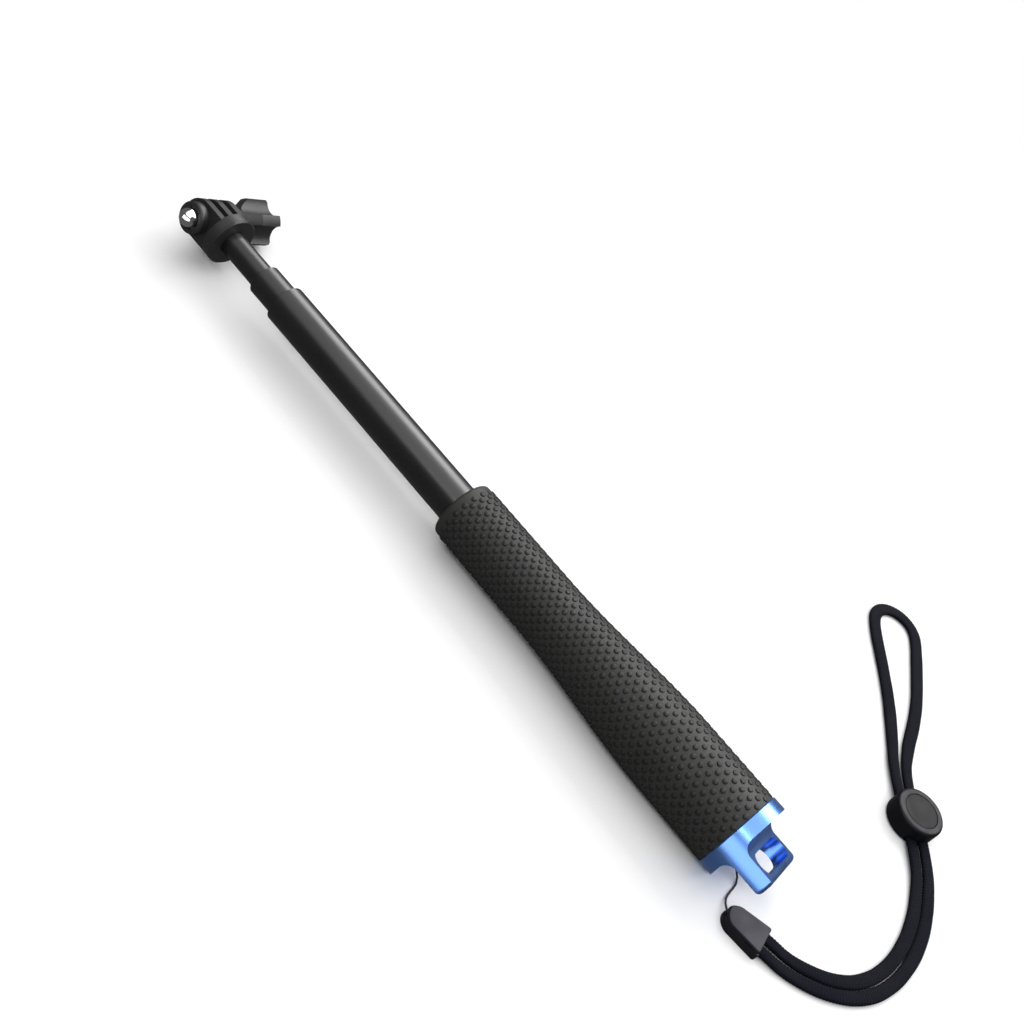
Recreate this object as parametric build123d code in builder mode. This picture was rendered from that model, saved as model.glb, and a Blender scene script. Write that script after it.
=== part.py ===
from build123d import *
import os
from math import asin, atan, cos, degrees, hypot, pi, radians, sin, sqrt, tan

# A telescoping hand pole for an action camera, lying on its side on a flat surface.
# Frame: the origin is on the pole's axis at the middle of the grip, +X runs along the pole
# to the camera head, +Z is up. Millimetres and degrees throughout.

os.makedirs("parts", exist_ok=True)

# ---------------------------------------------------------------- driving dimensions
# Grip and handle tube
grip_length = 143.4
grip_top_r = 12.1
grip_heel_r = 15.5
grip_top_straight = 46.0
grip_heel_straight = 30.0
grip_lip = 1.0
grip_top_round = 1.4
handle_od = 20.0
handle_wall = 1.2

# Telescoping tubes: outside diameter of each, one wall for all three
lower_od = 16.0
middle_od = 13.0
upper_od = 10.0
tube_wall = 0.8
tube_rim_edge = 0.2

# How far each tube stands out of the one below it, as stored and when pushed home
lower_out = 105.0
middle_out = 13.1
upper_out = 20.7
lower_stub = 3.2
middle_stub = 3.8
upper_stub = 3.0

# Guide bush in each mouth
bush_length = 14.0
bush_inset = 0.8
bush_lead = 0.3
running_gap = 0.05

# Twist lock at the inner end of each tube
plug_spigot = 6.0
plug_collar = 1.5
plug_head = 1.5
plug_head_inset = 0.4
plug_lead = 0.5
lock_ring_room = 8.0
lock_ring_end_gap = 0.2
spindle_offset = 0.35
spindle_inset = 1.6
lock_play = 0.1
lock_slit = 1.2
stop_gap = 0.3

# End cap with its lanyard loop
cap_r = 16.0
cap_ring = 5.2
cap_plug = 8.0
loop_thick = 6.5
loop_height = 14.3
loop_scoop = 4.0
loop_round = 1.8
loop_lean = 23.0
window_height = 7.7
window_end_wall = 2.0
window_end_bar = 2.5
cap_edge = 0.4
cut_over = 1.0

# Camera fork
flange_r = 10.5
flange_thick = 5.0
flange_edge = 0.7
fork_spigot = 14.0
prong_thick = 3.0
prong_gap = 3.2
prong_r = 7.5
pivot_above_flange = 8.5
pivot_hole_r = 2.6
nut_boss_r = 6.2
nut_boss_length = 4.0
nut_boss_edge = 0.5

# Clamp screw, nut and knob, measured along the pivot from the middle of the fork
screw_r = 2.5
nut_across_flats = 8.0
nut_recess = 1.2
nut_dome_r = 3.75
nut_dome_straight = 0.6
nut_blind = 1.6
screw_end_gap = 0.6
screw_tip_edge = 0.5
knob_start_gap = 0.2
knob_neck_r = 4.7
knob_neck_length = 5.2
knob_flare = 6.0
knob_r = 9.0
knob_reach = 30.5
knob_edge = 1.0
knob_blades = 4
first_flute = 0.0
flute_r = 5.4
flute_pitch_r = 10.4
screw_head = 3.5
screw_head_depth = 0.5

# Wrist strap
cord_d = 0.8
ferrule_r = 1.1
ferrule_length = 4.6
ferrule_out = 0.6
ferrule_across = -4.0
ferrule_below = 10.0
strand_width = 5.0
strand_thick = 2.4
strand_gap = 0.3
strand_play = 0.06
strand_edge = 1.0
clip_square_half = 6.3
clip_round_r = 5.0
clip_length = 15.9
clip_body_height = 3.3
clip_lid_height = 1.2
clip_lid_inset = 0.5
clip_lid_edge = 0.45
clip_corner = 1.2
clip_floor = 0.8
clip_pocket = 6.0
clip_throat = 0.8
clip_mouth = 3.0
clip_side_play = 0.3
slider_r = 10.0
slider_height = 8.6
slider_floor = 0.8
slider_play = 0.3
slider_edge = 1.4
slider_disc_r = 7.2
slider_disc_thick = 1.4
slider_disc_edge = 0.5

# ---------------------------------------------------------------- worked-out places
floor_z = -cap_r
grip_x0 = -grip_length / 2
grip_x1 = grip_length / 2
handle_id = handle_od - 2 * handle_wall
handle_end = grip_x1 - grip_lip
lower_rim = grip_x1 + lower_out
middle_rim = lower_rim + middle_out
flange_x = middle_rim + upper_out
pivot_x = flange_x + flange_thick + pivot_above_flange
fork_half = 1.5 * prong_thick + prong_gap
nut_face = fork_half + nut_boss_length
lock_length = plug_collar + lock_ring_room + plug_head

# The pivot droops until the knob's rim stands on the surface that the cap lies on.
knob_rim = knob_reach - knob_edge
head_roll = degrees(asin(cap_r / hypot(knob_rim, knob_r)) - atan(knob_r / knob_rim))
knob_way = Vector(0, -cos(radians(head_roll)), -sin(radians(head_roll)))
pole_way = Vector(1, 0, 0)

# head_plane: x along the pole, z along the pivot towards the knob.
# pivot_section: x along the pivot, y along the pole, for turned profiles.
head_plane = Plane(origin=(pivot_x, 0, 0), x_dir=pole_way, z_dir=knob_way)
pivot_section = Plane(origin=(pivot_x, 0, 0), x_dir=knob_way, z_dir=knob_way.cross(pole_way))
pivot_axis = Axis((pivot_x, 0, 0), knob_way)

# The lanyard loop is a slab across the cap, leaning loop_lean degrees about the pole.
loop_across = Vector(0, cos(radians(loop_lean)), sin(radians(loop_lean)))
loop_face = Vector(0, -sin(radians(loop_lean)), cos(radians(loop_lean)))
ring_x = grip_x0 - cap_ring
loop_end = ring_x - loop_height
window_x = loop_end + window_end_bar + window_height / 2
window_length = 2 * (sqrt(cap_r**2 - (loop_thick / 2) ** 2) - window_end_wall)
ferrule_place = Vector(ring_x, 0, 0) + loop_across * ferrule_across - loop_face * ferrule_below
ferrule_plane = Plane(origin=ferrule_place, x_dir=loop_across, z_dir=pole_way)


class Stage:
    """One sliding tube: its size, the tube around it and where it ends."""

    def __init__(self, name, od, around_id, mouth, home_stop, rim, stub):
        self.name = name
        self.od = od
        self.bore = od - 2 * tube_wall
        self.around_id = around_id
        self.mouth = mouth
        # Pushed home, the lock stops just above home_stop and the rim stands out by stub.
        self.length = mouth + stub - home_stop - stop_gap - lock_length
        self.rim = rim
        self.start = rim - self.length


lower = Stage("lower", lower_od, handle_id, grip_x1, grip_x0 + cap_plug, lower_rim, lower_stub)
middle = Stage("middle", middle_od, lower.bore, lower_rim, lower.start + plug_spigot, middle_rim,
               middle_stub)
upper = Stage("upper", upper_od, middle.bore, middle_rim, middle.start + plug_spigot, flange_x,
              upper_stub)
stages = [lower, middle, upper]


def save(piece, name):
    piece.part.label = name
    export_step(piece.part, f"parts/{name}.step")


# ---------------------------------------------------------------- handle
with BuildPart() as handle_tube:
    with BuildSketch(Plane.YZ.offset(grip_x0)):
        Circle(handle_od / 2)
        Circle(handle_id / 2, mode=Mode.SUBTRACT)
    extrude(amount=handle_end - grip_x0)
save(handle_tube, "handle_tube")

# The rubber sleeve is slim at the top and swells to a full heel. A lip hooks over the tube.
swell_start = grip_x1 - grip_top_straight
swell_end = grip_x0 + grip_heel_straight
lip_r = handle_id / 2
with BuildPart() as grip_sleeve:
    with BuildSketch(Plane.XZ):
        with BuildLine():
            heel = Line((grip_x0, grip_heel_r), (swell_end, grip_heel_r))
            top = Line((swell_start, grip_top_r), (grip_x1, grip_top_r))
            Spline(heel @ 1, top @ 0, tangents=(heel % 1, top % 0))
            Polyline(top @ 1, (grip_x1, lip_r), (handle_end, lip_r), (handle_end, handle_od / 2),
                     (grip_x0, handle_od / 2), heel @ 0)
        make_face()
    revolve(axis=Axis.X)
    rim_edges = grip_sleeve.edges().filter_by(GeomType.CIRCLE).group_by(Axis.X)[-1]
    fillet(rim_edges.sort_by(SortBy.RADIUS)[-1], min(grip_top_round, 0.8 * (grip_top_r - lip_r)))
save(grip_sleeve, "grip_sleeve")

# ---------------------------------------------------------------- tubes, bushes and twist locks
for stage, tube_end in zip(stages, [lower.rim, middle.rim, flange_x]):
    with BuildPart() as tube:
        with BuildSketch(Plane.YZ.offset(stage.start)):
            Circle(stage.od / 2)
            Circle(stage.bore / 2, mode=Mode.SUBTRACT)
        extrude(amount=tube_end - stage.start)
        rim = tube.faces().sort_by(Axis.X)[-1]
        chamfer(rim.edges(), tube_rim_edge)
    save(tube, f"{stage.name}_tube")

# Each bush is pressed into the mouth of the outer tube and guides the inner one.
bush_sites = [("handle", handle_end, lower), ("lower", lower.rim, middle), ("middle", middle.rim, upper)]
for name, mouth, guided in bush_sites:
    with BuildPart() as bush:
        with BuildSketch(Plane.YZ.offset(mouth - bush_inset - bush_length)):
            Circle(guided.around_id / 2)
            Circle(guided.od / 2 + running_gap, mode=Mode.SUBTRACT)
        extrude(amount=bush_length)
        mouth_edges = bush.faces().sort_by(Axis.X)[-1].edges()
        chamfer(mouth_edges.sort_by(SortBy.RADIUS)[0], bush_lead)
    save(bush, f"{name}_bush")

# A plug is pressed into each tube's inner end. Its off-centre spindle carries a split ring,
# and turning the tube wedges the ring against the outer tube.
for stage in stages:
    spindle_r = stage.bore / 2 - spindle_inset
    ring_start = stage.start - plug_collar - lock_ring_room
    with BuildPart() as lock_plug:
        with BuildSketch(Plane.YZ.offset(stage.start)):
            Circle(stage.bore / 2)
        extrude(amount=plug_spigot)
        with BuildSketch(Plane.YZ.offset(stage.start - plug_collar)):
            Circle(stage.od / 2)
        extrude(amount=plug_collar)
        with BuildSketch(Plane.YZ.offset(ring_start)):
            with Locations((0, spindle_offset)):
                Circle(spindle_r)
        extrude(amount=lock_ring_room)
        with BuildSketch(Plane.YZ.offset(ring_start - plug_head)):
            Circle(stage.od / 2 - plug_head_inset)
        extrude(amount=plug_head)
        chamfer(lock_plug.faces().sort_by(Axis.X)[-1].edges(), plug_lead)
    save(lock_plug, f"{stage.name}_lock_plug")

    ring_bore_r = spindle_r + 2 * spindle_offset + lock_play
    with BuildPart() as lock_ring:
        with BuildSketch(Plane.YZ.offset(ring_start + lock_ring_end_gap)):
            Circle(stage.around_id / 2 - running_gap)
            with Locations((0, spindle_offset)):
                Circle(ring_bore_r, mode=Mode.SUBTRACT)
            with Locations((0, -stage.around_id / 4)):
                Rectangle(lock_slit, stage.around_id / 2, mode=Mode.SUBTRACT)
        extrude(amount=lock_ring_room - 2 * lock_ring_end_gap)
    save(lock_ring, f"{stage.name}_lock_ring")

# ---------------------------------------------------------------- end cap
with BuildPart() as end_cap:
    with BuildSketch(Plane.YZ.offset(loop_end)):
        Circle(cap_r)
    extrude(amount=loop_height + cap_ring)
    with BuildSketch(Plane.YZ.offset(grip_x0)):
        Circle(handle_id / 2)
    extrude(amount=cap_plug)
    # Two scoops leave the slab standing across the cap.
    scoop_depth = cap_r - loop_thick / 2 + cut_over
    for side in (1, -1):
        with BuildSketch(Plane(origin=(0, 0, 0), x_dir=pole_way, z_dir=loop_across)):
            with Locations((loop_end - cut_over, side * loop_thick / 2)):
                Rectangle(loop_height + cut_over, scoop_depth,
                          align=(Align.MIN, Align.MIN if side > 0 else Align.MAX))
            inner = vertices().group_by(Axis.X)[-1].sort_by(lambda v: abs(v.distance_to((ring_x, 0, 0))))[0]
            fillet(inner, loop_scoop)
        extrude(amount=cap_r + cut_over, both=True, mode=Mode.SUBTRACT)
    fillet(end_cap.faces().sort_by(Axis.X)[0].edges(), min(loop_round, 0.75 * window_end_bar))
    with BuildSketch(Plane(origin=(window_x, 0, 0), x_dir=loop_across, z_dir=loop_face)):
        SlotOverall(window_length, window_height)
    extrude(amount=cap_r, both=True, mode=Mode.SUBTRACT)
    ring_rims = end_cap.edges().filter_by(GeomType.CIRCLE).filter_by_position(Axis.X, grip_x0 - 0.01,
                                                                             grip_x0 + 0.01)
    chamfer(ring_rims.sort_by(SortBy.RADIUS)[-1], cap_edge)
    # A blind hole under the slab takes the ferrule on the strap's cord.
    with BuildSketch(ferrule_plane):
        Circle(ferrule_r)
    extrude(amount=ferrule_length - ferrule_out, mode=Mode.SUBTRACT)
save(end_cap, "end_cap")

# ---------------------------------------------------------------- camera fork
with BuildPart() as camera_fork:
    with BuildSketch(Plane.YZ.offset(flange_x)):
        Circle(flange_r)
    extrude(amount=flange_thick)
    chamfer(camera_fork.edges().filter_by(GeomType.CIRCLE), flange_edge)
    with BuildSketch(Plane.YZ.offset(flange_x - fork_spigot)):
        Circle(upper.bore / 2)
    extrude(amount=fork_spigot)
    with BuildSketch(head_plane.offset(-fork_half)):
        with Locations((-(pivot_above_flange + cut_over) / 2, 0)):
            Rectangle(pivot_above_flange + cut_over, 2 * prong_r)
        Circle(prong_r)
    extrude(amount=2 * fork_half)
    for gap_start in (-prong_thick / 2 - prong_gap, prong_thick / 2):
        with BuildSketch(head_plane.offset(gap_start)):
            with Locations((-pivot_above_flange, 0)):
                Rectangle(pivot_above_flange + prong_r + cut_over, 2 * (flange_r + cut_over),
                          align=(Align.MIN, Align.CENTER))
        extrude(amount=prong_gap, mode=Mode.SUBTRACT)
    with BuildSketch(head_plane.offset(-nut_face)):
        Circle(nut_boss_r)
    extrude(amount=nut_boss_length)
    boss_rim = camera_fork.faces().sort_by(Axis((0, 0, 0), knob_way))[0].edges()
    chamfer(boss_rim, nut_boss_edge)
    with BuildSketch(head_plane.offset(-nut_face)):
        RegularPolygon(nut_across_flats / 2, 6, major_radius=False)
    extrude(amount=nut_boss_length, mode=Mode.SUBTRACT)
    with BuildSketch(head_plane.offset(-nut_face)):
        Circle(pivot_hole_r)
    extrude(amount=nut_face + fork_half, mode=Mode.SUBTRACT)
save(camera_fork, "camera_fork")

# ---------------------------------------------------------------- nut, screw and knob
# The hexagon sits below the boss's face, so only the dome stands out of it.
nut_top = nut_face - nut_recess
dome_top = nut_face + nut_dome_straight + nut_dome_r
with BuildPart() as acorn_nut:
    with BuildSketch(head_plane.offset(-nut_top)):
        RegularPolygon(nut_across_flats / 2, 6, major_radius=False)
    extrude(amount=nut_top - fork_half)
    with BuildSketch(pivot_section):
        with BuildLine():
            Polyline((-nut_top, 0), (-nut_top, nut_dome_r), (-nut_face - nut_dome_straight, nut_dome_r))
            RadiusArc((-nut_face - nut_dome_straight, nut_dome_r), (-dome_top, 0), -nut_dome_r)
            Line((-dome_top, 0), (-nut_top, 0))
        make_face()
    revolve(axis=pivot_axis)
    with BuildSketch(head_plane.offset(-fork_half)):
        Circle(screw_r + running_gap)
    extrude(amount=-(nut_boss_length + nut_blind), mode=Mode.SUBTRACT)
save(acorn_nut, "acorn_nut")

screw_tip = nut_face + nut_blind - screw_end_gap
head_seat = knob_reach - screw_head_depth - screw_head
with BuildPart() as thumb_screw:
    with BuildSketch(head_plane.offset(-screw_tip)):
        Circle(screw_r)
    extrude(amount=screw_tip + head_seat)
    chamfer(thumb_screw.faces().sort_by(Axis((0, 0, 0), knob_way))[0].edges(), screw_tip_edge)
    with BuildSketch(head_plane.offset(head_seat)):
        RegularPolygon(nut_across_flats / 2, 6, major_radius=False)
    extrude(amount=screw_head)
save(thumb_screw, "thumb_screw")

knob_start = fork_half + knob_start_gap
wing_start = knob_start + knob_neck_length
with BuildPart() as thumb_knob:
    with BuildSketch(pivot_section):
        Polygon((knob_start, 0), (knob_start, knob_neck_r), (wing_start, knob_neck_r),
                (wing_start + knob_flare, knob_r), (knob_rim, knob_r), (knob_reach, knob_r - knob_edge),
                (knob_reach, 0), align=None)
    revolve(axis=pivot_axis)
    with BuildSketch(head_plane.offset(wing_start)):
        with PolarLocations(flute_pitch_r, knob_blades, start_angle=first_flute):
            Circle(flute_r)
    extrude(amount=knob_reach - wing_start + cut_over, mode=Mode.SUBTRACT)
    with BuildSketch(head_plane.offset(knob_start)):
        Circle(screw_r)
    extrude(amount=head_seat - knob_start, mode=Mode.SUBTRACT)
    with BuildSketch(head_plane.offset(head_seat)):
        RegularPolygon(nut_across_flats / 2, 6, major_radius=False)
    extrude(amount=screw_head + screw_head_depth + cut_over, mode=Mode.SUBTRACT)
save(thumb_knob, "thumb_knob")


# ---------------------------------------------------------------- wrist strap
def corner_radii(points):
    """Radius at each inner point: 0.45 of the shorter run over the tangent of half the turn."""
    radii = []
    for before, here, after in zip(points, points[1:], points[2:]):
        run_in = here - before
        run_out = after - here
        half_turn = radians(run_in.get_angle(run_out)) / 2
        radii.append(0.45 * min(run_in.length, run_out.length) / tan(half_turn))
    return radii


def report_path(name, wire, radii, area, solid):
    print(f"{name}: length {wire.length:.1f}, radii {[round(r, 1) for r in radii]}")
    print(f"{name}: volume {solid.volume:.1f}, section x length {area * wire.length:.1f}")


def by_cap(x, y, lift):
    """A point by the cap: from the window's middle along the pole, across the pole, and up."""
    return Vector(window_x + x, y, floor_z + lift)


# The thin cord is crimped in a ferrule under the loop's slab. It comes straight out of it,
# drops to the surface, runs out from under the slab and rises into the clip's mouth.
cord_points = [
    ferrule_place + pole_way * ferrule_length / 2,
    ferrule_place - pole_way * 2.2,
    by_cap(3.2, -0.5, 3.2),
    by_cap(1.2, -0.2, 1.3),
    by_cap(-0.1, 1.7, 0.5),
    by_cap(-0.3, 4.2, 0.4),
    by_cap(-0.5, 6.9, 0.5),
    by_cap(-1.0, 9.6, 1.0),
    by_cap(-2.5, 12.6, 2.0),
    by_cap(-5.2, 14.1, 2.2),
    by_cap(-8.2, 13.5, 2.2),
]
cord_radii = corner_radii(cord_points)
with BuildPart() as strap_cord:
    with BuildLine() as cord_path:
        FilletPolyline(*cord_points, radius=cord_radii)
    cord_wire = cord_path.wires()[0]
    with BuildSketch(Plane(cord_wire @ 0, z_dir=cord_wire % 0)):
        Circle(cord_d / 2)
    sweep(path=cord_wire)
save(strap_cord, "strap_cord")
report_path("strap_cord", cord_wire, cord_radii, pi * cord_d**2 / 4, strap_cord.part)

with BuildPart() as cord_ferrule:
    with BuildSketch(ferrule_plane.offset(-ferrule_out)):
        Circle(ferrule_r)
        Circle(cord_d / 2, mode=Mode.SUBTRACT)
    extrude(amount=ferrule_length)
save(cord_ferrule, "cord_ferrule")

# Clip plane: x from the square end to the round end, z up. The clip lies flat.
clip_square = by_cap(-19.1, 11.0, 0)
clip_round = by_cap(-3.5, 14.4, 0)
clip_plane = Plane(origin=clip_square, x_dir=clip_round - clip_square, z_dir=(0, 0, 1))
clip_shoulder = clip_length - clip_round_r
pair_width = 2 * strand_width + strand_gap
clip_slot = pair_width + 2 * clip_side_play


# Outline, square at the strap end and half round at the cord end.
with BuildSketch() as clip_outline:
    with BuildLine():
        Polyline((clip_shoulder, clip_round_r), (0, clip_square_half), (0, -clip_square_half),
                 (clip_shoulder, -clip_round_r))
        ThreePointArc((clip_shoulder, -clip_round_r), (clip_length, 0), (clip_shoulder, clip_round_r))
    make_face()
    fillet(clip_outline.vertices().group_by(Axis.X)[0], clip_corner)

with BuildPart() as clip_body:
    with BuildSketch(clip_plane):
        add(clip_outline.sketch)
    extrude(amount=clip_body_height)
    with BuildSketch(clip_plane.offset(clip_floor)):
        Rectangle(2 * clip_pocket, clip_slot)
        with Locations((clip_pocket, 0)):
            Rectangle(clip_shoulder - clip_pocket + cut_over, 2 * clip_throat,
                      align=(Align.MIN, Align.CENTER))
        Polygon((clip_shoulder, clip_throat), (clip_shoulder, -clip_throat),
                (clip_length + cut_over, -clip_mouth), (clip_length + cut_over, clip_mouth), align=None)
    extrude(amount=clip_body_height, mode=Mode.SUBTRACT)
save(clip_body, "clip_body")

with BuildPart() as clip_lid:
    with BuildSketch(clip_plane.offset(clip_body_height)):
        offset(clip_outline.sketch, amount=-clip_lid_inset)
    extrude(amount=clip_lid_height)
    fillet(clip_lid.faces().sort_by(Axis.Z)[-1].edges(), clip_lid_edge)
save(clip_lid, "clip_lid")

# The strap is one woven strand that leaves the clip, passes through the slider, turns round as
# the wrist loop and comes back beside itself. It rises only to enter the slider and the clip.
flat = strand_play + strand_thick / 2
in_slider = slider_floor + slider_play + strand_thick / 2
in_clip = clip_floor + strand_play + strand_thick / 2
strand_points = [
    by_cap(-15.1, 9.2, in_clip),
    by_cap(-20.7, 7.9, in_clip),
    by_cap(-26.6, 6.3, flat),
    by_cap(-32.8, 3.6, flat),
    by_cap(-41.7, -2.4, flat),
    by_cap(-48.6, -11.2, flat),
    by_cap(-52.0, -22.6, flat),
    by_cap(-52.4, -34.8, flat),
    by_cap(-50.5, -46.8, flat),
    by_cap(-46.2, -59.2, flat),
    by_cap(-37.3, -73.8, in_slider),
    by_cap(-10.7, -98.0, in_slider),
    by_cap(-0.6, -114.4, flat),
    by_cap(10.9, -130.0, flat),
    by_cap(23.7, -144.4, flat),
    by_cap(35.2, -156.4, flat),
    by_cap(41.4, -165.2, flat),
    by_cap(39.9, -173.6, flat),
    by_cap(32.8, -178.2, flat),
    by_cap(24.2, -176.6, flat),
    by_cap(17.7, -167.4, flat),
    by_cap(10.4, -155.6, flat),
    by_cap(3.0, -143.2, flat),
    by_cap(-2.8, -130.2, flat),
    by_cap(-7.3, -117.2, flat),
    by_cap(-14.3, -102.0, in_slider),
    by_cap(-40.9, -77.8, in_slider),
    by_cap(-51.0, -61.2, flat),
    by_cap(-55.6, -47.9, flat),
    by_cap(-57.6, -34.9, flat),
    by_cap(-57.2, -21.7, flat),
    by_cap(-53.3, -8.8, flat),
    by_cap(-45.1, 1.6, flat),
    by_cap(-35.0, 8.4, flat),
    by_cap(-28.1, 11.4, flat),
    by_cap(-21.9, 13.2, in_clip),
    by_cap(-16.2, 14.4, in_clip),
]
strand_radii = corner_radii(strand_points)
with BuildPart() as wrist_strap:
    with BuildLine() as strand_path:
        FilletPolyline(*strand_points, radius=strand_radii)
    strand_wire = strand_path.wires()[0]
    start_way = strand_wire % 0
    with BuildSketch(Plane(strand_wire @ 0, x_dir=start_way.cross(Vector(0, 0, 1)), z_dir=start_way)):
        RectangleRounded(strand_width, strand_thick, strand_edge)
    sweep(path=strand_wire)
save(wrist_strap, "wrist_strap")
strand_area = strand_width * strand_thick - (4 - pi) * strand_edge**2
report_path("wrist_strap", strand_wire, strand_radii, strand_area, wrist_strap.part)

# The slider is a round bead on the two strands, with a disc pressed into its top.
slider_centre = (strand_points[10] + strand_points[11] + strand_points[25] + strand_points[26]) / 4
slider_centre = Vector(slider_centre.X, slider_centre.Y, floor_z)
slider_way = Vector(strand_points[11].X - strand_points[10].X, strand_points[11].Y - strand_points[10].Y, 0)
slider_plane = Plane(origin=slider_centre, x_dir=slider_way, z_dir=(0, 0, 1))
disc_z = slider_height - slider_disc_thick
with BuildPart() as slider_body:
    with BuildSketch(slider_plane):
        Circle(slider_r)
    extrude(amount=slider_height)
    fillet(slider_body.edges().filter_by(GeomType.CIRCLE), slider_edge)
    with BuildSketch(slider_plane.offset(slider_floor)):
        Rectangle(3 * slider_r, pair_width + 2 * slider_play)
    extrude(amount=strand_thick + 2 * slider_play, mode=Mode.SUBTRACT)
    with BuildSketch(slider_plane.offset(disc_z)):
        Circle(slider_disc_r)
    extrude(amount=slider_disc_thick, mode=Mode.SUBTRACT)
save(slider_body, "slider_body")

with BuildPart() as slider_disc:
    with BuildSketch(slider_plane.offset(disc_z)):
        Circle(slider_disc_r)
    extrude(amount=slider_disc_thick)
    fillet(slider_disc.faces().sort_by(Axis.Z)[-1].edges(), slider_disc_edge)
save(slider_disc, "slider_disc")

# ---------------------------------------------------------------- facts for whoever fits joints
print(f"head roll {head_roll:.2f}, pivot at x {pivot_x:.1f}, knob way {knob_way}")
print(f"slider centre {slider_centre}, way {slider_way.normalized()}")
for stage, stub, out in zip(stages, (lower_stub, middle_stub, upper_stub),
                            (lower_out, middle_out, upper_out)):
    bush_bottom = (handle_end if stage is lower else stage.mouth) - bush_inset - bush_length
    travel_out = bush_bottom - (stage.start - plug_collar - lock_ring_end_gap) - stop_gap
    print(f"{stage.name}: length {stage.length:.1f}, travel {stub - out:.1f} to {travel_out:.1f}")
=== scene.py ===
import math

import bpy
import numpy as np
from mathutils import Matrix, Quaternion, Vector


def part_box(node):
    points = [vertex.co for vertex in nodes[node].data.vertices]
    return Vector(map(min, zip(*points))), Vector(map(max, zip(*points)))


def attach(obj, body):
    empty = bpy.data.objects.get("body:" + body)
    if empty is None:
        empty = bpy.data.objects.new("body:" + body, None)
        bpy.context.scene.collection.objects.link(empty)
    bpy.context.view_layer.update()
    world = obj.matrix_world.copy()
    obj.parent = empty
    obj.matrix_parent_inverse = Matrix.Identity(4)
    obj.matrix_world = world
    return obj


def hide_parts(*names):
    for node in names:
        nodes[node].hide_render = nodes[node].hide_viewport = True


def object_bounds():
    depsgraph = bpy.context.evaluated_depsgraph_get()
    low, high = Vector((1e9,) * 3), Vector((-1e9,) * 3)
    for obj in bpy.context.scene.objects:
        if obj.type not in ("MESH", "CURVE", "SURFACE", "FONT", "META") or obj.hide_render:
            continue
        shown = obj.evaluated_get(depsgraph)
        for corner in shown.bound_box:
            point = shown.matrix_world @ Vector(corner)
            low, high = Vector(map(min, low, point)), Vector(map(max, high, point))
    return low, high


# A telescoping hand pole for an action camera, lying on a pale floor with its wrist strap spread
# beside it. Metres, in the frame's axes: +X along the pole to the camera fork, +Z up.

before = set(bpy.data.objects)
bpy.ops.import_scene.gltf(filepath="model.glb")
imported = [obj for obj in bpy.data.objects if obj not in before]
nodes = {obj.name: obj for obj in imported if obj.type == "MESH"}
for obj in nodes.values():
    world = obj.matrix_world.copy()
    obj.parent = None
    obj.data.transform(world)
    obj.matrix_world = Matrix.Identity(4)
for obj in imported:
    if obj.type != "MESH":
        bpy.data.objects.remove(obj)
cad_low, cad_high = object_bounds()
mm = 0.001

# ---------------------------------------------------------------- studio
# A pale floor under a wide overhead light, a long softbox behind the pole on the knob's side and
# a strip beside the camera, which looks down from the strap's side with the pole aslant.
eye = Vector((-0.0670, 0.3276, 0.3164))
aim = Vector((0.0621, -0.0189, 0.0))
camera_turn = math.radians(35.25)
view = bpy.data.objects.new("view", bpy.data.cameras.new("view"))
bpy.context.scene.collection.objects.link(view)
view.location = eye
view.rotation_mode = "QUATERNION"
view.rotation_quaternion = (aim - eye).to_track_quat("-Z", "Y") @ Quaternion((0, 0, 1), camera_turn)
view.data.lens = 47.46
view.data.clip_start = 0.01
bpy.context.scene.camera = view
bpy.context.scene.view_settings.view_transform = "Standard"

floor_half = 0.75
floor_gap = 0.1 * mm
floor_mesh = bpy.data.meshes.new("floor")
floor_mesh.from_pydata([(x, y, cad_low.z - floor_gap) for x, y in
                        ((-floor_half, -floor_half), (floor_half, -floor_half),
                         (floor_half, floor_half), (-floor_half, floor_half))], [], [(0, 1, 2, 3)])
floor = bpy.data.objects.new("floor", floor_mesh)
bpy.context.scene.collection.objects.link(floor)
floor.visible_glossy = False
paper = bpy.data.materials.new("pale_paper")
paper.use_nodes = True
paper.node_tree.nodes["Principled BSDF"].inputs["Base Color"].default_value = (0.93, 0.93, 0.93, 1)
paper.node_tree.nodes["Principled BSDF"].inputs["Roughness"].default_value = 0.9
floor_mesh.materials.append(paper)


def softbox(name, place, target, width, height, watts):
    """A rectangular studio light that faces its target, its width level along X."""
    lamp = bpy.data.lights.new(name, "AREA")
    lamp.shape = "RECTANGLE"
    lamp.size, lamp.size_y = width, height
    lamp.energy = watts
    holder = bpy.data.objects.new(name, lamp)
    bpy.context.scene.collection.objects.link(holder)
    holder.location = place
    holder.rotation_euler = (Vector(target) - Vector(place)).to_track_quat("-Z", "Y").to_euler()
    return holder


# The polished pieces see more of the long softbox than the floor does, so shadows stay light.
softbox("long_softbox", (0.05, -0.70, 0.70), (0.05, 0, 0), 1.6, 0.55, 6)
reflection_box = softbox("reflection_box", (0.05, -0.72, 0.72), (0.05, 0, 0), 1.6, 0.62, 17)
reflection_box.visible_diffuse = False
# The floor isn't reflected in black pieces. A low card stands in for it in the bright metal.
floor_card = softbox("floor_card", (-0.05, 0.55, 0.10), (0, 0, 0), 1.2, 0.40, 3.2)
floor_card.visible_diffuse = False
bright_metal = bpy.data.collections.new("bright_metal")
for name in ("end_cap", "acorn_nut"):
    bright_metal.objects.link(nodes[name])
floor_card.light_linking.receiver_collection = bright_metal
softbox("camera_strip", (-0.10, 0.50, 0.62), (0.0, 0, 0), 0.9, 0.10, 1.6)
softbox("overhead_fill", (0.0, 0.15, 1.5), (0, 0, 0), 2.4, 2.4, 27)

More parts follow.
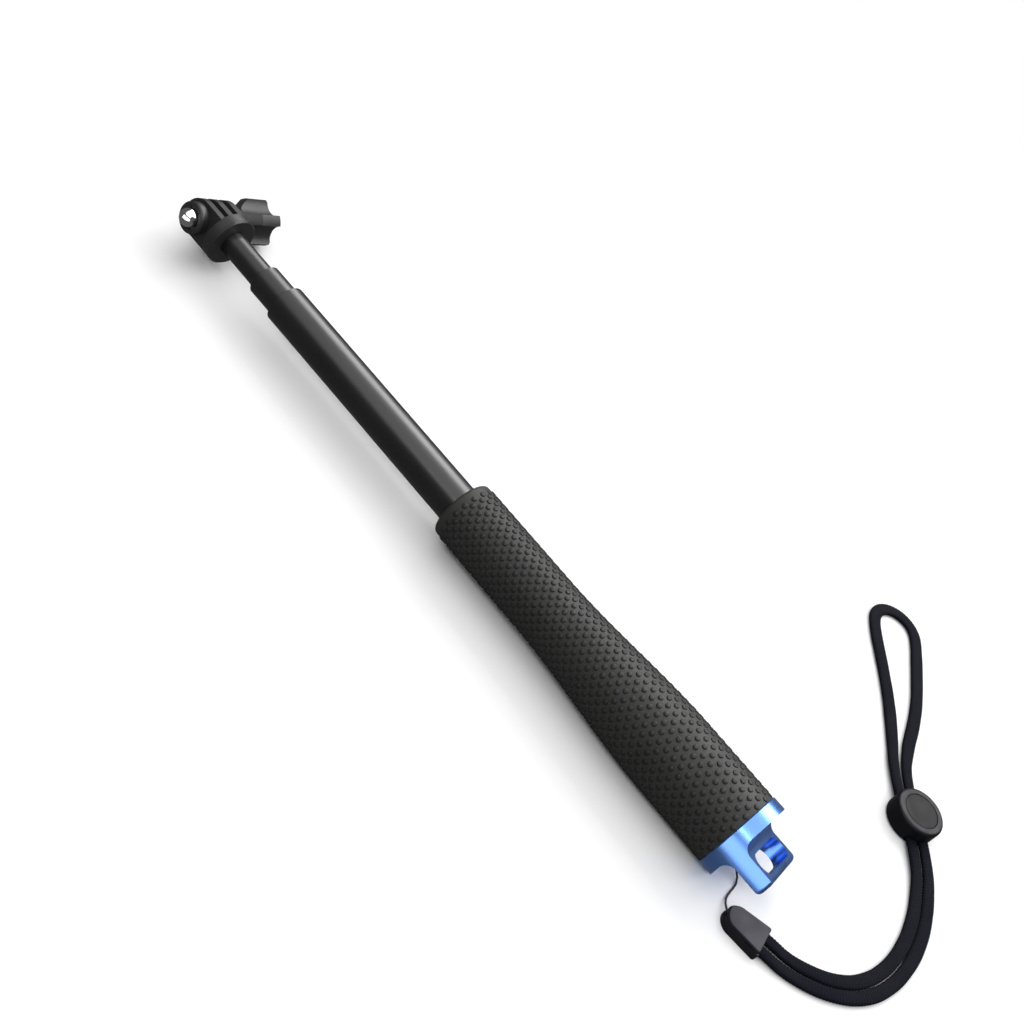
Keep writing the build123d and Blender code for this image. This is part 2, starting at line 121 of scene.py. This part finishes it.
room = bpy.data.worlds.new("room")
bpy.context.scene.world = room
room.use_nodes = True
backdrop = room.node_tree.nodes["Background"]
backdrop.inputs["Color"].default_value = (1, 1, 1, 1)
seen = room.node_tree.nodes.new("ShaderNodeLightPath")
shade = room.node_tree.nodes.new("ShaderNodeMapRange")
shade.inputs["To Min"].default_value = 0.12
shade.inputs["To Max"].default_value = 1.0
room.node_tree.links.new(seen.outputs["Is Camera Ray"], shade.inputs["Value"])
room.node_tree.links.new(shade.outputs["Result"], backdrop.inputs["Strength"])


# ---------------------------------------------------------------- thin cord and its ferrule
# A braided nylon cord ties the strap to the pole: it is crimped in a ferrule under the loop of
# the cap, drops to the floor and runs out from under the loop into the clip.
class Amount:
    """A shader socket that can be added to another and multiplied by a number."""

    def __init__(self, finish, socket):
        self.finish = finish
        self.socket = socket

    def math(self, operation, other):
        return self.finish.node("ShaderNodeMath", {"operation": operation}, {0: self, 1: other})

    def __add__(self, other):
        return self.math("ADD", other)

    def __mul__(self, other):
        return self.math("MULTIPLY", other)

    __radd__ = __add__
    __rmul__ = __mul__


class Finish:
    """A material under construction: its node tree and its Principled shader."""

    def __init__(self, name, fixed=None):
        self.material = bpy.data.materials.new(name)
        self.material.use_nodes = True
        self.tree = self.material.node_tree
        self.shader = self.tree.nodes["Principled BSDF"]
        self.set(self.shader, fixed or {})

    def set(self, node, sockets):
        """Gives each socket its value, or links it."""
        for key, value in sockets.items():
            if isinstance(value, Amount):
                self.tree.links.new(value.socket, node.inputs[key])
            else:
                node.inputs[key].default_value = value

    def node(self, kind, settings=None, sockets=None, out=0):
        """Adds a node, with its settings first and then its sockets, and gives one output."""
        made = self.tree.nodes.new(kind)
        for key, value in (settings or {}).items():
            setattr(made, key, value)
        self.set(made, sockets or {})
        return Amount(self, made.outputs[out])

    def stretched(self, along, across_y, across_z):
        """Object coordinates, scaled so that a pattern stretches along the pole or round it."""
        place = self.node("ShaderNodeTexCoord", out="Object")
        return self.node("ShaderNodeMapping", {}, {"Vector": place,
                                                   "Scale": (along, across_y, across_z)})

    def noise(self, vector, scale, detail=3.0):
        return self.node("ShaderNodeTexNoise", {}, {"Vector": vector, "Scale": scale,
                                                    "Detail": detail, "Roughness": 0.5})

    def between(self, share, low, high):
        """A value from low to high as share goes from 0.3 to 0.7, where most of a noise lies."""
        return self.node("ShaderNodeMapRange", {}, {"Value": share, "From Min": 0.3, "From Max": 0.7,
                                                    "To Min": low, "To Max": high})

    def tint(self, share, first, second):
        """A colour from first to second."""
        return self.node("ShaderNodeMix", {"data_type": "RGBA"},
                         {0: share, 6: (*first, 1), 7: (*second, 1)}, out=2)

    def bump(self, height, distance, strength):
        bent = self.node("ShaderNodeBump", {}, {"Height": height, "Distance": distance,
                                                "Strength": strength})
        self.set(self.shader, {"Normal": bent})

    def wear(self, obj):
        """Puts the finished material on an object."""
        obj.data.materials.clear()
        obj.data.materials.append(self.material)


def nurbs_line(points):
    """The centreline of a NURBS spline that has those control points, as an array of points."""
    curve = bpy.data.curves.new("route", "CURVE")
    curve.dimensions = "3D"
    curve.resolution_u = 16
    spline = curve.splines.new("NURBS")
    spline.points.add(len(points) - 1)
    for control, point in zip(spline.points, points):
        control.co = (*point, 1)
    spline.order_u = 3
    spline.use_endpoint_u = True
    holder = bpy.data.objects.new("route", curve)
    mesh = bpy.data.meshes.new_from_object(holder)
    line = np.array([v.co for v in mesh.vertices], float)
    bpy.data.objects.remove(holder)
    bpy.data.curves.remove(curve)
    bpy.data.meshes.remove(mesh)
    return line


def even_line(line, step):
    """The same line with points a step apart, and each point's distance along it."""
    along = np.concatenate([[0], np.cumsum(np.linalg.norm(np.diff(line, axis=0), axis=1))])
    at = np.linspace(0, along[-1], round(along[-1] / step) + 1)
    return np.stack([np.interp(at, along, line[:, k]) for k in range(3)], axis=1), at


def directions(line, upright):
    """Along, side and up of every point: up stays upright, or is carried along without twisting."""
    ahead = np.gradient(line, axis=0)
    ahead /= np.linalg.norm(ahead, axis=1)[:, None]
    if upright:
        side = np.cross(ahead, (0, 0, 1.0))
    else:
        side = np.zeros_like(ahead)
        askew = (0.3, 0.2, 1.0)
        carried = np.cross(ahead[0], askew)
        for i, way in enumerate(ahead):
            carried = carried - way * (carried @ way)
            carried /= np.linalg.norm(carried)
            side[i] = carried
    side /= np.linalg.norm(side, axis=1)[:, None]
    return side, np.cross(side, ahead)


def tube(name, line, section, around, step, upright=False):
    """A closed mesh tube along a line. section(angle, distance) gives its side and up offsets.
    Its UV map runs in metres, along the tube and around it."""
    rings, at = even_line(line, step)
    side, up = directions(rings, upright)
    angle = np.arange(around) * math.tau / around
    across, rise = section(angle[None, :], at[:, None])
    points = (rings[:, None, :] + side[:, None, :] * across[:, :, None]
              + up[:, None, :] * rise[:, :, None])
    last = (len(rings) - 1) * around
    faces = [(r * around + k, r * around + (k + 1) % around, (r + 1) * around + (k + 1) % around,
              (r + 1) * around + k) for r in range(len(rings) - 1) for k in range(around)]
    faces += [tuple(reversed(range(around))), tuple(range(last, last + around))]
    mesh = bpy.data.meshes.new(name)
    mesh.from_pydata(points.reshape(-1, 3).tolist(), [], faces)
    girth = float(np.linalg.norm(np.diff(points[0], axis=0, append=points[0][:1]), axis=1).sum())
    uv = mesh.uv_layers.new(name="along_and_around").data
    for face in mesh.polygons[:-2]:
        r, k = divmod(face.index, around)
        for loop, (dr, dk) in zip(face.loop_indices, ((0, 0), (0, 1), (1, 1), (1, 0))):
            uv[loop].uv = (at[r + dr], (k + dk) / around * girth)
    mesh.polygons.foreach_set("use_smooth", [True] * len(mesh.polygons))
    made = bpy.data.objects.new(name, mesh)
    bpy.context.scene.collection.objects.link(made)
    return made, rings


cord_width = 0.8 * mm
strand_lay = 2.4 * mm
strand_lobe = 0.10
end_bar_and_half_window = 6.35 * mm
ferrule_out = 0.6 * mm
cap_low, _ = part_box("end_cap")
ferrule_low, ferrule_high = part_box("cord_ferrule")
ferrule_y = (ferrule_low.y + ferrule_high.y) / 2
ferrule_z = (ferrule_low.z + ferrule_high.z) / 2


def from_ferrule(x):
    """A point on the ferrule's axis, x millimetres inside the cap's ring."""
    return ferrule_low.x + ferrule_out + x * mm, ferrule_y, ferrule_z


def by_cap(x, y, lift):
    """A point by the cap, in millimetres from the window's middle along the pole, across the pole
    and up from the surface it lies on."""
    return cap_low.x + end_bar_and_half_window + x * mm, y * mm, cap_low.z + lift * mm


cord_route = [
    from_ferrule(2.3), from_ferrule(-2.2), by_cap(3.2, -0.5, 3.2), by_cap(1.2, -0.2, 1.3),
    by_cap(-0.1, 1.7, 0.5), by_cap(-0.3, 4.2, 0.4), by_cap(-0.5, 6.9, 0.5), by_cap(-1.0, 9.6, 1.0),
    by_cap(-2.5, 12.6, 2.0), by_cap(-5.2, 14.1, 2.2), by_cap(-8.2, 13.5, 2.2),
]


def twisted(angle, along):
    """Three strands laid together: a round section with three lobes that turn along the cord."""
    reach = cord_width / 2 * (1 + strand_lobe * (np.cos(3 * angle - math.tau * along / strand_lay) - 1))
    return reach * np.cos(angle), reach * np.sin(angle)


cord_line = nurbs_line(cord_route)
thin_cord, cord_rings = tube("thin_cord", cord_line, twisted, around=15, step=0.16 * mm)

cord_finish = Finish("black_nylon_cord", {"Roughness": 0.75, "Sheen Weight": 0.2})
fibre = cord_finish.noise(cord_finish.stretched(1, 1, 1), 5000.0, 2.0)
cord_finish.set(cord_finish.shader, {"Base Color": cord_finish.tint(fibre, (0.006, 0.006, 0.008),
                                                                   (0.016, 0.016, 0.020))})
cord_finish.bump(fibre, 0.02 * mm, 0.6)
cord_finish.wear(thin_cord)
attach(thin_cord, "handle")
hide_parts("strap_cord")

ferrule_finish = Finish("blackened_steel", {"Metallic": 1.0})
crimped = ferrule_finish.noise(ferrule_finish.stretched(400, 2500, 2500), 1.0, 2.0)
ferrule_finish.set(ferrule_finish.shader, {
    "Base Color": ferrule_finish.tint(crimped, (0.05, 0.05, 0.055), (0.10, 0.10, 0.105)),
    "Roughness": ferrule_finish.between(crimped, 0.34, 0.46)})
ferrule_finish.wear(nodes["cord_ferrule"])

# ---------------------------------------------------------------- wrist strap
# One soft polyester strand, a tubular braid pressed flat. Both its ends are sewn into the clip,
# it runs doubled through the round slider and opens beyond it into the wrist loop.
strap_width = 5.0 * mm
strap_thick = 2.4 * mm
strap_round = 0.72
braid_pitch = 2.4 * mm
braid_waves = 6
braid_depth = 0.15 * mm
slow_wander, slow_length = 0.016, 5.3 * mm
quick_wander, quick_length = 0.012, 2.1 * mm
flat, in_clip, in_slider = 1.26, 2.06, 2.3
strap_route = [
    by_cap(-15.1, 9.2, in_clip), by_cap(-20.7, 7.9, in_clip), by_cap(-26.6, 6.3, flat),
    by_cap(-32.8, 3.6, flat), by_cap(-41.7, -2.4, flat), by_cap(-48.6, -11.2, flat),
    by_cap(-52.0, -22.6, flat), by_cap(-52.4, -34.8, flat), by_cap(-50.5, -46.8, flat),
    by_cap(-46.2, -59.2, flat), by_cap(-37.3, -73.8, in_slider), by_cap(-10.7, -98.0, in_slider),
    by_cap(-0.6, -114.4, flat), by_cap(10.9, -130.0, flat), by_cap(23.7, -144.4, flat),
    by_cap(35.2, -156.4, flat), by_cap(41.4, -165.2, flat), by_cap(39.9, -173.6, flat),
    by_cap(32.8, -178.2, flat), by_cap(24.2, -176.6, flat), by_cap(17.7, -167.4, flat),
    by_cap(10.4, -155.6, flat), by_cap(3.0, -143.2, flat), by_cap(-2.8, -130.2, flat),
    by_cap(-7.3, -117.2, flat), by_cap(-14.3, -102.0, in_slider), by_cap(-40.9, -77.8, in_slider),
    by_cap(-51.0, -61.2, flat), by_cap(-55.6, -47.9, flat), by_cap(-57.6, -34.9, flat),
    by_cap(-57.2, -21.7, flat), by_cap(-53.3, -8.8, flat), by_cap(-45.1, 1.6, flat),
    by_cap(-35.0, 8.4, flat), by_cap(-28.1, 11.4, flat), by_cap(-21.9, 13.2, in_clip),
    by_cap(-16.2, 14.4, in_clip),
]
# The braid is squeezed in the clip and the slider, and relaxes between them and in the loop.
# Each pair is a distance along the strand in millimetres and a share of strap_width.
squeezed, relaxed, widest = 0.94, 1.10, 1.22
swelling = [(0, squeezed), (10, squeezed), (25, relaxed), (90, relaxed), (104, squeezed),
            (144, squeezed), (166, widest), (318, widest), (334, squeezed), (375, squeezed),
            (389, relaxed), (465, relaxed), (480, squeezed)]


def flattened_braid(angle, along):
    """A flattened tube whose diagonal yarns stand proud, and whose edges wander a little."""
    turn = math.tau * along / braid_pitch
    yarn = np.sin(braid_waves * angle + turn) * np.sin(braid_waves * angle - turn)
    wander = 1 + slow_wander * np.sin(along / slow_length) + quick_wander * np.sin(
        along / quick_length + 2 * angle)
    wander = wander * np.interp(along / mm, *zip(*swelling))
    grow = yarn * braid_depth
    side = np.sign(np.cos(angle)) * np.abs(np.cos(angle)) ** strap_round
    rise = np.sign(np.sin(angle)) * np.abs(np.sin(angle)) ** strap_round
    half_width = strap_width / 2 - 2 * braid_depth
    half_thick = strap_thick / 2 - braid_depth
    return side * (half_width * wander + grow), rise * (half_thick + grow)


strap_line = nurbs_line(strap_route)
strap, strap_rings = tube("woven_wrist_strap", strap_line, flattened_braid, around=32,
                          step=0.22 * mm, upright=True)
strap_finish = Finish("black_woven_polyester", {"Specular IOR Level": 0.12})
uv = strap_finish.node("ShaderNodeTexCoord", out="UV")
threads = strap_finish.node("ShaderNodeMapping", {}, {"Vector": uv, "Scale": (900, 2200, 1)})
thread_noise = strap_finish.noise(threads, 1.0, 2.0)
fade = strap_finish.noise(strap_finish.stretched(1, 1, 1), 60.0, 3.0)
strap_finish.set(strap_finish.shader, {
    "Base Color": strap_finish.tint(0.6 * thread_noise + 0.4 * fade, (0.0015, 0.0015, 0.004),
                                    (0.0050, 0.0052, 0.0125)),
    "Roughness": strap_finish.between(fade, 0.84, 0.95),
})
strap_finish.bump(thread_noise, 0.05 * mm, 0.7)
strap_finish.wear(strap)
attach(strap, "handle")
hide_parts("wrist_strap")

# ---------------------------------------------------------------- clip
# Two moulded halves that close over the strap's ends and the cord: a black body and a
# slate-coloured lid, pressed together. Fine spark-eroded texture, a little polished by handling.
clip_body_finish = Finish("clip_body_nylon", {"Specular IOR Level": 0.20})
clip_lid_finish = Finish("clip_lid_nylon", {"Specular IOR Level": 0.22})
for finish, dark, light in ((clip_body_finish, (0.006, 0.006, 0.0075), (0.011, 0.011, 0.013)),
                            (clip_lid_finish, (0.011, 0.0105, 0.019), (0.017, 0.016, 0.027))):
    grain = finish.noise(finish.stretched(1, 1, 1), 3200.0, 2.0)
    rubbed = finish.noise(finish.stretched(1, 1, 1), 160.0, 3.0)
    finish.set(finish.shader, {"Base Color": finish.tint(rubbed, dark, light),
                               "Roughness": finish.between(rubbed, 0.42, 0.56)})
    finish.bump(grain, 0.02 * mm, 0.5)
clip_body_finish.wear(nodes["clip_body"])
clip_lid_finish.wear(nodes["clip_lid"])

# ---------------------------------------------------------------- slider
# A round moulded bead that grips the doubled strap, with a smoother disc pressed into its top.
slider_finish = Finish("slider_nylon", {"Specular IOR Level": 0.18})
brushed = slider_finish.noise(slider_finish.stretched(260, 260, 20), 1.0, 3.0)
slider_finish.set(slider_finish.shader, {
    "Base Color": slider_finish.tint(brushed, (0.003, 0.003, 0.005), (0.006, 0.006, 0.009)),
    "Roughness": slider_finish.between(brushed, 0.36, 0.50)})
slider_finish.bump(slider_finish.noise(slider_finish.stretched(1, 1, 1), 2600.0, 2.0), 0.015 * mm, 0.5)
slider_finish.wear(nodes["slider_body"])

disc_finish = Finish("slider_disc_nylon", {"Specular IOR Level": 0.10})
dulled = disc_finish.noise(disc_finish.stretched(1, 1, 1), 220.0, 4.0)
disc_finish.set(disc_finish.shader, {
    "Base Color": disc_finish.tint(dulled, (0.0015, 0.0015, 0.0018), (0.003, 0.003, 0.0035)),
    "Roughness": disc_finish.between(dulled, 0.34, 0.46)})
disc_finish.wear(nodes["slider_disc"])

# ---------------------------------------------------------------- end cap
# Turned from aluminium bar, milled to a slab with a window for a lanyard, bead blasted lightly
# and anodised a clear blue. Fine turning lines run round it.
cap_finish = Finish("blue_anodised_aluminium", {"Metallic": 0.92, "Coat Weight": 0.10,
                                                "Coat Roughness": 0.12})
turning = cap_finish.noise(cap_finish.stretched(2600, 25, 25), 1.0, 2.0)
cloud = cap_finish.noise(cap_finish.stretched(1, 1, 1), 90.0, 3.0)
cap_finish.set(cap_finish.shader, {
    "Base Color": cap_finish.tint(cloud, (0.130, 0.290, 0.740), (0.160, 0.330, 0.800)),
    "Roughness": cap_finish.between(cloud, 0.25, 0.31)})
cap_finish.bump(turning, 0.002 * mm, 0.03)
cap_finish.wear(nodes["end_cap"])

# ---------------------------------------------------------------- grip
# The handle's aluminium tube is inside a moulded rubber sleeve, slim at the mouth and full at
# the heel. Rows of small flat-topped dots cover it, each row half a step along from the next.
rubber_finish = Finish("grip_rubber", {"Specular IOR Level": 0.40})
dust = rubber_finish.noise(rubber_finish.stretched(1, 1, 1), 70.0, 4.0)
skin = rubber_finish.noise(rubber_finish.stretched(1, 1, 1), 2400.0, 3.0)
rubber_finish.set(rubber_finish.shader, {
    "Base Color": rubber_finish.tint(0.5 * dust + 0.5 * skin, (0.013, 0.013, 0.012),
                                     (0.026, 0.026, 0.024)),
    "Roughness": rubber_finish.between(dust, 0.56, 0.68)})
rubber_finish.bump(skin, 0.03 * mm, 0.6)
rubber_finish.wear(nodes["grip_sleeve"])

dot_finish = Finish("grip_dot_rubber", {"Specular IOR Level": 0.35})
dot_dust = dot_finish.noise(dot_finish.stretched(1, 1, 1), 70.0, 4.0)
dot_finish.set(dot_finish.shader, {
    "Base Color": dot_finish.tint(dot_dust, (0.007, 0.007, 0.007), (0.013, 0.013, 0.012)),
    "Roughness": dot_finish.between(dot_dust, 0.50, 0.64)})

dots_round = 18
dot_columns = 2 * dots_round
dot_pitch = 3.5 * mm
dot_phase = math.radians(1.5)
dot_margin = 1.1 * mm
# Each ring of a dot's outline is a radius and a height above the sleeve.
dot_profile = [(1.02 * mm, -0.20 * mm), (0.96 * mm, 0.22 * mm), (0.74 * mm, 0.38 * mm)]
dot_sides = 12
grip_low, grip_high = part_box("grip_sleeve")
dots_along = int((grip_high.x - grip_low.x - 2 * dot_margin) / dot_pitch)

dot_mesh = bpy.data.meshes.new("one_dot")
dot_angles = [k * math.tau / dot_sides for k in range(dot_sides)]
dot_points = [(reach * math.cos(angle), reach * math.sin(angle), height)
              for reach, height in dot_profile for angle in dot_angles]
dot_faces = [(r * dot_sides + k, r * dot_sides + (k + 1) % dot_sides,
              (r + 1) * dot_sides + (k + 1) % dot_sides, (r + 1) * dot_sides + k)
             for r in range(len(dot_profile) - 1) for k in range(dot_sides)]
dot_top = (len(dot_profile) - 1) * dot_sides
dot_faces += [tuple(range(dot_top, dot_top + dot_sides)), tuple(reversed(range(dot_sides)))]
dot_mesh.from_pydata(dot_points, [], dot_faces)
dot_mesh.polygons.foreach_set("use_smooth", [True] * len(dot_faces))
one_dot = bpy.data.objects.new("one_dot", dot_mesh)


def socket(tree, name, kind, default):
    """A named input of a geometry tree."""
    made = tree.interface.new_socket(name, in_out="INPUT", socket_type=kind)
    if default is not None:
        made.default_value = default
    return made


def add(tree, kind, settings=None, sockets=None):
    """Adds a geometry node, with its settings first and then its sockets' values or links."""
    made = tree.nodes.new(kind)
    for key, value in (settings or {}).items():
        setattr(made, key, value)
    for key, value in (sockets or {}).items():
        if isinstance(value, bpy.types.NodeSocket):
            tree.links.new(value, made.inputs[key])
        else:
            made.inputs[key].default_value = value
    return made


def work(tree, operation, first, second=0.0):
    """One Math node's result."""
    return add(tree, "ShaderNodeMath", {"operation": operation}, {0: first, 1: second}).outputs[0]


dots_tree = bpy.data.node_groups.new("dots_on_sleeve", "GeometryNodeTree")
dots_tree.interface.new_socket("Geometry", in_out="OUTPUT", socket_type="NodeSocketGeometry")
sleeve_input = socket(dots_tree, "Sleeve", "NodeSocketObject", None)
dot_input = socket(dots_tree, "Dot", "NodeSocketObject", None)
columns_input = socket(dots_tree, "Columns", "NodeSocketInt", 36)
along_input = socket(dots_tree, "Dots along", "NodeSocketInt", 10)
pitch_input = socket(dots_tree, "Pitch", "NodeSocketFloat", 0.003)
start_input = socket(dots_tree, "First dot", "NodeSocketFloat", 0.0)
phase_input = socket(dots_tree, "Turn", "NodeSocketFloat", 0.0)
given = dots_tree.nodes.new("NodeGroupInput").outputs
total = work(dots_tree, "MULTIPLY", given["Columns"], given["Dots along"])
points = add(dots_tree, "GeometryNodeMeshLine", {"mode": "OFFSET"}, {"Count": total})
index = add(dots_tree, "GeometryNodeInputIndex").outputs[0]
column = work(dots_tree, "MODULO", index, given["Columns"])
row = work(dots_tree, "FLOOR", work(dots_tree, "DIVIDE", index, given["Columns"]))
half_step = work(dots_tree, "MULTIPLY", work(dots_tree, "MODULO", column, 2.0), 0.5)
steps = work(dots_tree, "ADD", row, half_step)
place_x = work(dots_tree, "ADD", given["First dot"], work(dots_tree, "MULTIPLY", steps, given["Pitch"]))
turn = work(dots_tree, "ADD", given["Turn"],
            work(dots_tree, "MULTIPLY", work(dots_tree, "DIVIDE", column, given["Columns"]), math.tau))
outside = 2 * grip_high.z
radial = add(dots_tree, "ShaderNodeCombineXYZ", {}, {"X": 0.0, "Y": work(dots_tree, "COSINE", turn),
                                                     "Z": work(dots_tree, "SINE", turn)}).outputs[0]
start = add(dots_tree, "ShaderNodeCombineXYZ", {}, {
    "X": place_x, "Y": work(dots_tree, "MULTIPLY", work(dots_tree, "COSINE", turn), outside),
    "Z": work(dots_tree, "MULTIPLY", work(dots_tree, "SINE", turn), outside)}).outputs[0]
inward = add(dots_tree, "ShaderNodeVectorMath", {"operation": "SCALE"},
             {0: radial, "Scale": -1.0}).outputs[0]
sleeve_shape = add(dots_tree, "GeometryNodeObjectInfo", {"transform_space": "ORIGINAL"},
                   {"Object": given["Sleeve"]}).outputs["Geometry"]
hit = add(dots_tree, "GeometryNodeRaycast", {"data_type": "FLOAT"},
          {"Target Geometry": sleeve_shape, "Source Position": start, "Ray Direction": inward,
           "Ray Length": 2 * outside})
placed = add(dots_tree, "GeometryNodeSetPosition", {}, {"Geometry": points.outputs[0],
                                                        "Position": hit.outputs["Hit Position"]})
facing = add(dots_tree, "FunctionNodeAlignRotationToVector", {"axis": "Z"},
             {"Vector": radial}).outputs[0]
dot_shape = add(dots_tree, "GeometryNodeObjectInfo", {"transform_space": "ORIGINAL"},
                {"Object": given["Dot"]}).outputs["Geometry"]
spread = add(dots_tree, "GeometryNodeInstanceOnPoints", {},
             {"Points": placed.outputs[0], "Selection": hit.outputs["Is Hit"], "Instance": dot_shape,
              "Rotation": facing})
real = add(dots_tree, "GeometryNodeRealizeInstances", {}, {0: spread.outputs[0]})
dressed = add(dots_tree, "GeometryNodeSetMaterial", {}, {"Geometry": real.outputs[0],
                                                         "Material": dot_finish.material})
out = dots_tree.nodes.new("NodeGroupOutput")
dots_tree.links.new(dressed.outputs[0], out.inputs[0])


def grown(name, tree, settings):
    """A plain mesh object grown by a geometry tree. Each input is set by its identifier."""
    seed = bpy.data.objects.new(name + "_seed", bpy.data.meshes.new(name + "_seed"))
    bpy.context.scene.collection.objects.link(seed)
    modifier = seed.modifiers.new("grow", "NODES")
    modifier.node_group = tree
    for given_input, value in settings:
        modifier[given_input.identifier] = value
    bpy.context.view_layer.update()
    evaluated = seed.evaluated_get(bpy.context.evaluated_depsgraph_get())
    mesh = bpy.data.meshes.new_from_object(evaluated)
    mesh.name = name
    seed.modifiers.remove(modifier)
    bpy.data.objects.remove(seed)
    made = bpy.data.objects.new(name, mesh)
    bpy.context.scene.collection.objects.link(made)
    return made


grip_dots = grown("grip_dots", dots_tree, [
    (sleeve_input, nodes["grip_sleeve"]), (dot_input, one_dot), (columns_input, dot_columns),
    (along_input, dots_along), (pitch_input, dot_pitch), (start_input, grip_low.x + dot_margin),
    (phase_input, dot_phase)])
bpy.data.objects.remove(one_dot)
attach(grip_dots, "handle")

# ---------------------------------------------------------------- tubes
# Drawn aluminium tubes, polished along their length and anodised satin black. The grain runs
# along the pole, and handling has left the gloss a little uneven.
tube_finish = Finish("satin_black_anodised", {"Metallic": 0.20, "Specular IOR Level": 0.85})
drawn = tube_finish.noise(tube_finish.stretched(12, 1500, 1500), 1.0, 2.0)
handled = tube_finish.noise(tube_finish.stretched(1, 1, 1), 45.0, 3.0)
tube_finish.set(tube_finish.shader, {
    "Base Color": tube_finish.tint(handled, (0.005, 0.005, 0.005), (0.010, 0.010, 0.010)),
    "Roughness": tube_finish.between(0.5 * drawn + 0.5 * handled, 0.30, 0.38)})
tube_finish.bump(drawn, 0.006 * mm, 0.4)
for name in ("lower_tube", "middle_tube", "upper_tube", "handle_tube"):
    tube_finish.wear(nodes[name])

# ---------------------------------------------------------------- bushes and twist locks
# Acetal guide bushes in the mouths of the tubes, and inside them the nylon plugs with their
# off-centre spindles and the split rings that wedge against the outer tube.
bush_finish = Finish("black_acetal")
waxy = bush_finish.noise(bush_finish.stretched(1, 1, 1), 300.0, 3.0)
bush_finish.set(bush_finish.shader, {
    "Base Color": bush_finish.tint(waxy, (0.010, 0.010, 0.010), (0.018, 0.018, 0.018)),
    "Roughness": bush_finish.between(waxy, 0.40, 0.52)})
lock_finish = Finish("grey_glass_filled_nylon")
fibres = lock_finish.noise(lock_finish.stretched(400, 1200, 1200), 1.0, 3.0)
lock_finish.set(lock_finish.shader, {
    "Base Color": lock_finish.tint(fibres, (0.060, 0.060, 0.062), (0.110, 0.110, 0.112)),
    "Roughness": lock_finish.between(fibres, 0.48, 0.62)})
for name in ("handle_bush", "lower_bush", "middle_bush"):
    bush_finish.wear(nodes[name])
for stage in ("lower", "middle", "upper"):
    bush_finish.wear(nodes[f"{stage}_lock_ring"])
    lock_finish.wear(nodes[f"{stage}_lock_plug"])

# ---------------------------------------------------------------- camera fork and knob
# Injection-moulded glass-filled nylon, dark grey with a fine spark texture: the three-prong fork
# pressed into the upper tube, and the four-bladed knob moulded over the clamp screw's head.
fork_finish = Finish("dark_moulded_nylon", {"Specular IOR Level": 0.5})
spark = fork_finish.noise(fork_finish.stretched(1, 1, 1), 3000.0, 2.0)
flow = fork_finish.noise(fork_finish.stretched(1, 1, 1), 130.0, 4.0)
fork_finish.set(fork_finish.shader, {
    "Base Color": fork_finish.tint(0.3 * spark + 0.7 * flow, (0.010, 0.010, 0.0103),
                                   (0.020, 0.020, 0.0206)),
    "Roughness": fork_finish.between(flow, 0.38, 0.50)})
fork_finish.bump(spark, 0.02 * mm, 0.6)
fork_finish.wear(nodes["camera_fork"])
fork_finish.wear(nodes["thumb_knob"])

# ---------------------------------------------------------------- clamp screw and acorn nut
# A turned M5 steel screw, and the chromed acorn nut that it runs into, held in the fork's boss.
steel_finish = Finish("turned_steel", {"Metallic": 1.0})
lathe = steel_finish.noise(steel_finish.stretched(200, 4000, 4000), 1.0, 2.0)
steel_finish.set(steel_finish.shader, {
    "Base Color": steel_finish.tint(lathe, (0.42, 0.42, 0.43), (0.60, 0.60, 0.61)),
    "Roughness": steel_finish.between(lathe, 0.26, 0.38)})
steel_finish.wear(nodes["thumb_screw"])
chrome_finish = Finish("polished_chrome", {"Metallic": 1.0})
haze = chrome_finish.noise(chrome_finish.stretched(1, 1, 1), 420.0, 3.0)
chrome_finish.set(chrome_finish.shader, {
    "Base Color": chrome_finish.tint(haze, (0.72, 0.72, 0.73), (0.80, 0.80, 0.81)),
    "Roughness": chrome_finish.between(haze, 0.06, 0.13)})
chrome_finish.wear(nodes["acorn_nut"])
